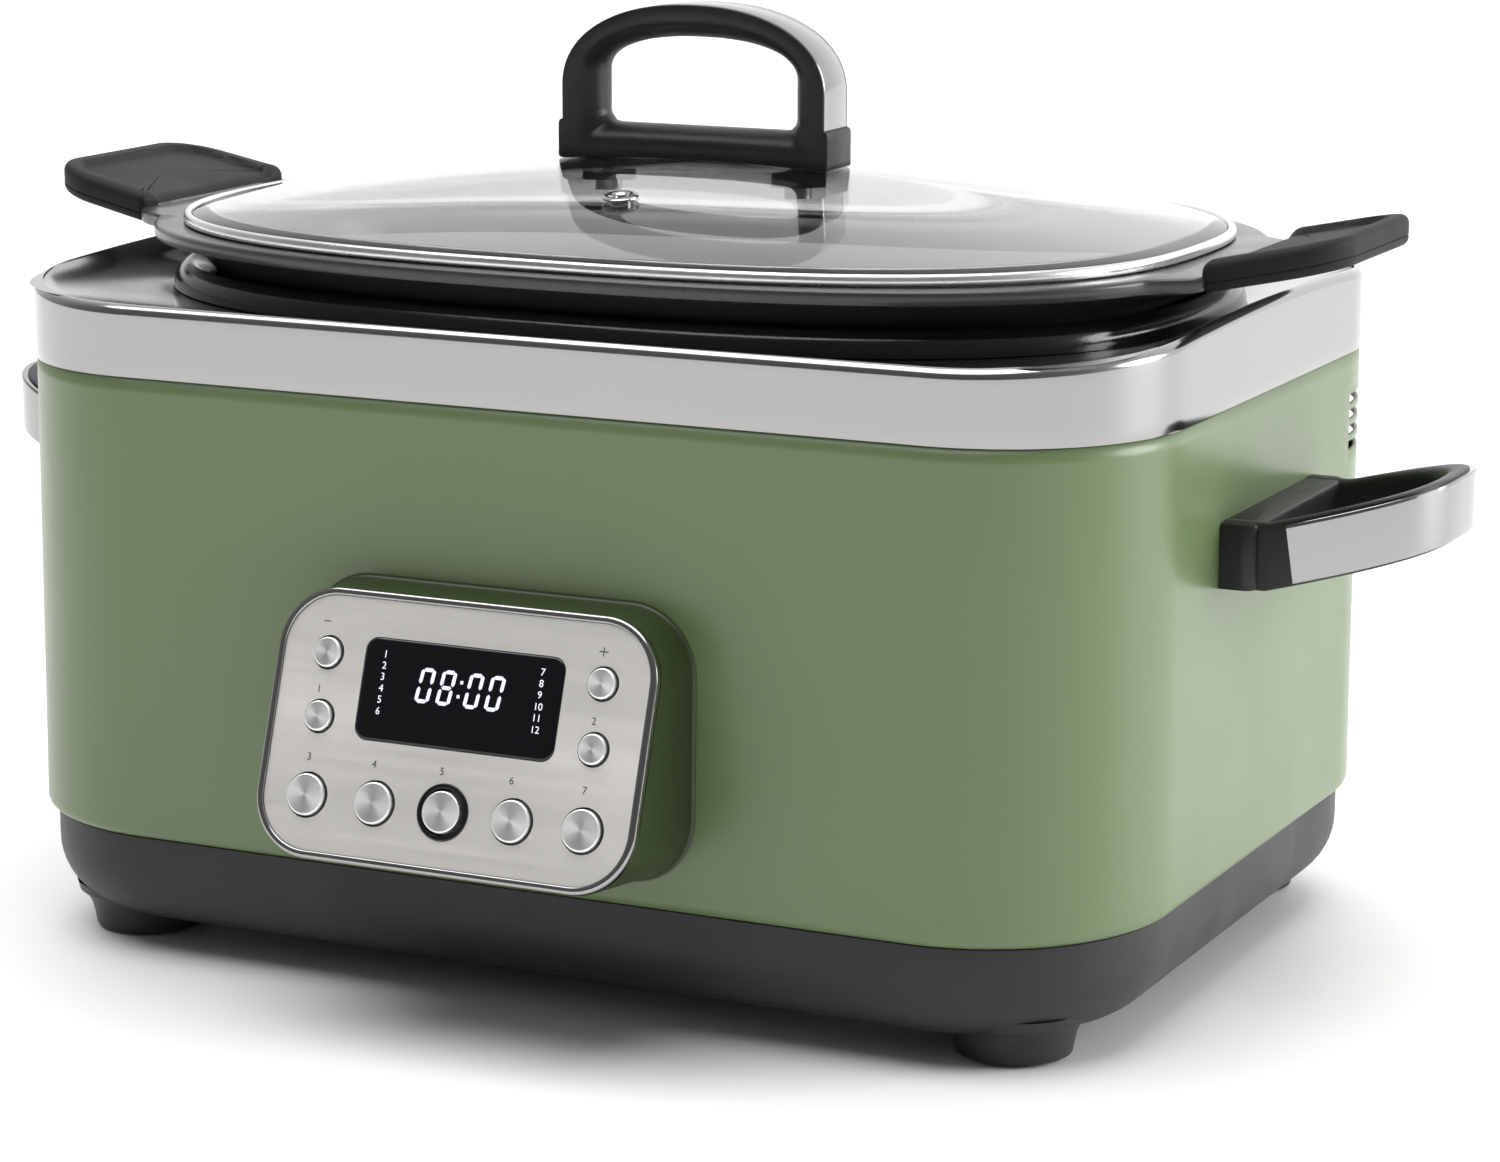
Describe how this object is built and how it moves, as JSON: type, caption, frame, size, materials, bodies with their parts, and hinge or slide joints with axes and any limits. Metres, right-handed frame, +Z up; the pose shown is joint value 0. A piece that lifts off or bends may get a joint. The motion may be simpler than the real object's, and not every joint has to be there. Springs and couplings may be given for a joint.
{
  "type": "slow cooker",
  "caption": "Oval-pot slow cooker with a painted shell, steel top band, tilted key panel with display, side handles, lift-out pot with silicone grips and a domed glass lid.",
  "frame": {"origin": "on the floor under the middle of the whole appliance, from the panel bezel to the cord gland; the body itself is centred 20 mm behind it", "axes": "+X along the body towards its right-hand handle, -Y towards the control panel side, +Z up"},
  "size_m": [0.528, 0.3356, 0.3086],
  "materials": {
    "sage_paint": "satin sage green stoving paint",
    "polished_steel": "polished stainless steel",
    "base_grey": "fine satin moulded plastic",
    "collar_black": "glossy black",
    "handle_black": "satin black heat-proof plastic",
    "silicone_black": "matte silicone",
    "foot_rubber": "matte rubber",
    "clear_glass": "clear tempered glass",
    "pot_metal": "dark metallic ceramic-coated cast aluminium",
    "fascia_metal": "fine brushed",
    "button_metal": "spun radial brushed caps",
    "display_glass": "dark smoked window",
    "bare_steel": "bare sheet steel",
    "cast_plate": "cast, matt",
    "circuit_board": "solder mask",
    "component_plastic": "moulded",
    "cable_grey": "flat cable"
  },
  "bodies": {
    "base": {"base_shell": "base_grey", "base_screws": "bare_steel", "outer_shell": "sage_paint", "cord_gland": "handle_black", "top_trim": "polished_steel", "well_collar": "collar_black", "heating_well": "bare_steel", "heating_plate": "cast_plate", "heating_element": "bare_steel", "temperature_sensor": "bare_steel", "thermal_fuse": "bare_steel", "heat_shield": "bare_steel", "well_posts": "bare_steel", "power_board": "circuit_board", "power_transformer": "component_plastic", "power_relay": "component_plastic", "heat_sink": "cast_plate", "terminal_block": "component_plastic", "control_ribbon": "cable_grey", "control_pod": "sage_paint", "panel_bezel": "polished_steel", "panel_fascia": "fascia_metal", "display_window": "display_glass", "display_module": "component_plastic", "control_board": "circuit_board", "tact_switches": "component_plastic", "start_button_ring": "collar_black", "right_handle_bracket": "handle_black", "left_handle_bracket": "handle_black", "right_handle_trim": "polished_steel", "left_handle_trim": "polished_steel", "handle_screws": "bare_steel", "foot_pad_front_left": "foot_rubber", "foot_pad_front_right": "foot_rubber", "foot_pad_rear_left": "foot_rubber", "foot_pad_rear_right": "foot_rubber"},
    "pot": {"cooking_pot": "pot_metal"},
    "right_grip": {"right_pot_grip": "silicone_black"},
    "left_grip": {"left_pot_grip": "silicone_black"},
    "lid": {"lid_glass": "clear_glass", "lid_rim": "polished_steel", "lid_vent_grommet": "polished_steel", "lid_handle": "handle_black", "lid_handle_strap": "polished_steel", "lid_handle_washers": "silicone_black", "lid_handle_screws": "bare_steel"},
    "button_minus_cap": {"button_minus": "button_metal"},
    "button_time_temp_cap": {"button_time_temp": "button_metal"},
    "button_plus_cap": {"button_plus": "button_metal"},
    "button_delay_timer_cap": {"button_delay_timer": "button_metal"},
    "button_slow_cook_cap": {"button_slow_cook": "button_metal"},
    "button_keep_warm_cap": {"button_keep_warm": "button_metal"},
    "button_start_stop_cap": {"button_start_stop": "button_metal"},
    "button_sear_cap": {"button_sear": "button_metal"},
    "button_more_cap": {"button_more": "button_metal"}
  },
  "joints": [
    {"name": "pot_lift", "type": "slide", "parent": "base", "child": "pot", "axis": [0, 0, 1], "range_m": [0, 0.16]},
    {"name": "lid_lift", "type": "slide", "parent": "pot", "child": "lid", "axis": [0, 0, 1], "range_m": [0, 0.1]},
    {"name": "right_grip_pull", "type": "slide", "parent": "pot", "child": "right_grip", "axis": [0.9787, 0, 0.2055], "range_m": [0, 0.05]},
    {"name": "left_grip_pull", "type": "slide", "parent": "pot", "child": "left_grip", "axis": [-0.9787, 0, 0.2055], "range_m": [0, 0.05]},
    {"name": "button_minus_press", "type": "slide", "parent": "base", "child": "button_minus_cap", "axis": [0, 0.9472, -0.3206], "range_m": [0, 0.0008], "stiffness_N_per_m": 400, "springref_m": -0.002},
    {"name": "button_time_temp_press", "type": "slide", "parent": "base", "child": "button_time_temp_cap", "axis": [0, 0.9472, -0.3206], "range_m": [0, 0.0008], "stiffness_N_per_m": 400, "springref_m": -0.002},
    {"name": "button_plus_press", "type": "slide", "parent": "base", "child": "button_plus_cap", "axis": [0, 0.9472, -0.3206], "range_m": [0, 0.0008], "stiffness_N_per_m": 400, "springref_m": -0.002},
    {"name": "button_delay_timer_press", "type": "slide", "parent": "base", "child": "button_delay_timer_cap", "axis": [0, 0.9472, -0.3206], "range_m": [0, 0.0008], "stiffness_N_per_m": 400, "springref_m": -0.002},
    {"name": "button_slow_cook_press", "type": "slide", "parent": "base", "child": "button_slow_cook_cap", "axis": [0, 0.9472, -0.3206], "range_m": [0, 0.0008], "stiffness_N_per_m": 400, "springref_m": -0.002},
    {"name": "button_keep_warm_press", "type": "slide", "parent": "base", "child": "button_keep_warm_cap", "axis": [0, 0.9472, -0.3206], "range_m": [0, 0.0008], "stiffness_N_per_m": 400, "springref_m": -0.002},
    {"name": "button_start_stop_press", "type": "slide", "parent": "base", "child": "button_start_stop_cap", "axis": [0, 0.9472, -0.3206], "range_m": [0, 0.0008], "stiffness_N_per_m": 400, "springref_m": -0.002},
    {"name": "button_sear_press", "type": "slide", "parent": "base", "child": "button_sear_cap", "axis": [0, 0.9472, -0.3206], "range_m": [0, 0.0008], "stiffness_N_per_m": 400, "springref_m": -0.002},
    {"name": "button_more_press", "type": "slide", "parent": "base", "child": "button_more_cap", "axis": [0, 0.9472, -0.3206], "range_m": [0, 0.0008], "stiffness_N_per_m": 400, "springref_m": -0.002}
  ]
}
